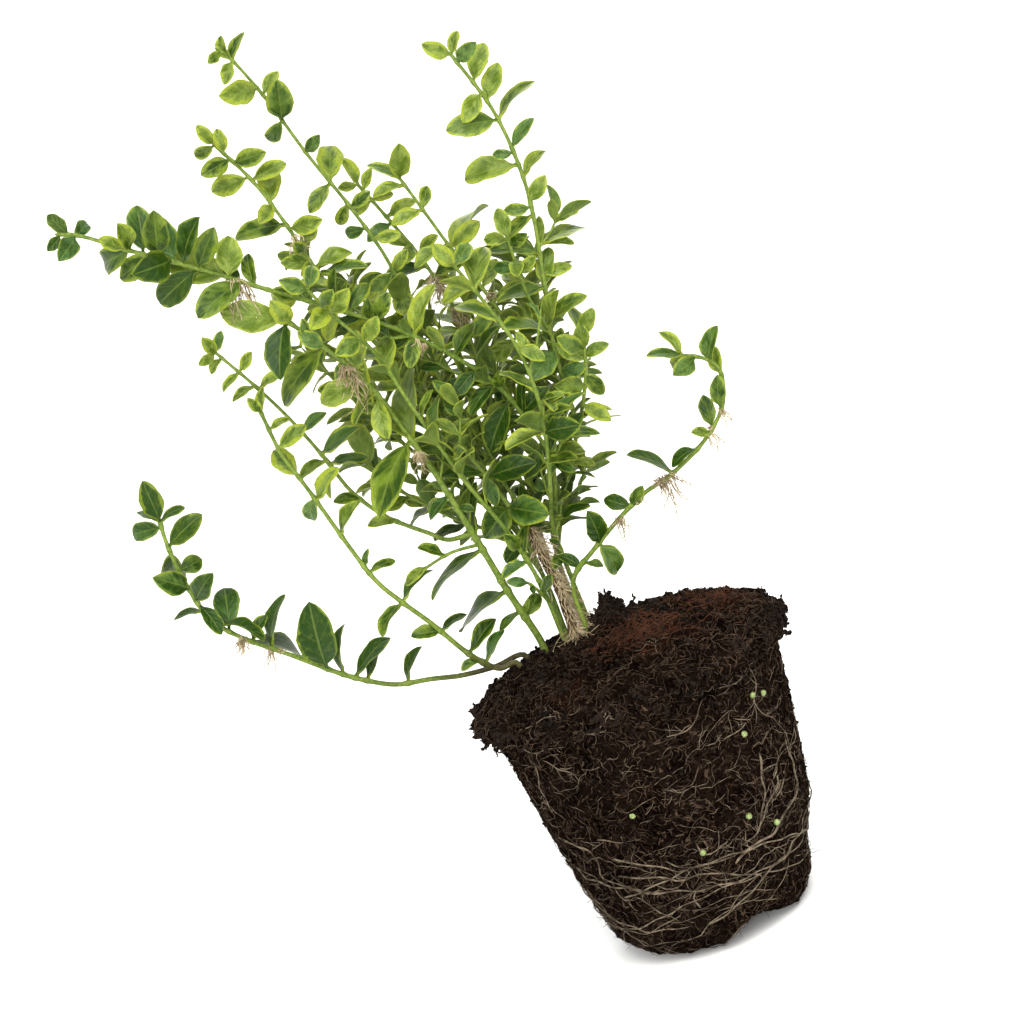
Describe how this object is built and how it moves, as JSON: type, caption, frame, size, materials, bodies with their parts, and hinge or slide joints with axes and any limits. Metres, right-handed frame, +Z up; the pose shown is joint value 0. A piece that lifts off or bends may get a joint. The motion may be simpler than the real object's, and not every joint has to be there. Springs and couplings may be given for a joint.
{
  "type": "wintercreeper plant with its root ball",
  "caption": "Young variegated wintercreeper out of its pot: a pot-shaped ball of peat and roots with an old woody stem and long arching leafy shoots.",
  "frame": {"origin": "middle of the flat foot of the root ball, on the surface that it stands on", "axes": "+Z up along the plant's height; +X to the right and +Y to the back as the picture shows the plant set upright"},
  "size_m": [0.2261, 0.1289, 0.3772],
  "materials": {
    "peat": "dark brown moist peat, crumbly and fibrous, with fine pale roots",
    "pale_root": "straw-coloured thin roots, matt",
    "bark": "brown cracked bark under a shag of straw rootlets",
    "leaf": "leathery mid-green leaf with irregular golden-yellow margins and pale veins, soft gloss, on green stems",
    "feed": "greenish-yellow resin bead, semi-gloss"
  },
  "bodies": {
    "root": {"root_ball": "peat", "circling_roots": "pale_root", "old_stem": "bark", "shoot_low_left": "leaf", "shoot_left": "leaf", "shoot_front": "leaf", "shoot_long": "leaf", "shoot_upper_left": "leaf", "shoot_tall": "leaf", "shoot_upper_middle": "leaf", "shoot_middle": "leaf", "shoot_right": "leaf", "shoot_runner": "leaf", "shoot_back_left": "leaf", "shoot_back": "leaf", "shoot_back_middle": "leaf", "shoot_back_right": "leaf", "shoot_front_left": "leaf", "shoot_front_right": "leaf", "shoot_left_low": "leaf", "feed_bead_1": "feed", "feed_bead_2": "feed", "feed_bead_3": "feed", "feed_bead_4": "feed", "feed_bead_5": "feed", "feed_bead_6": "feed", "feed_bead_7": "feed"}
  },
  "joints": []
}
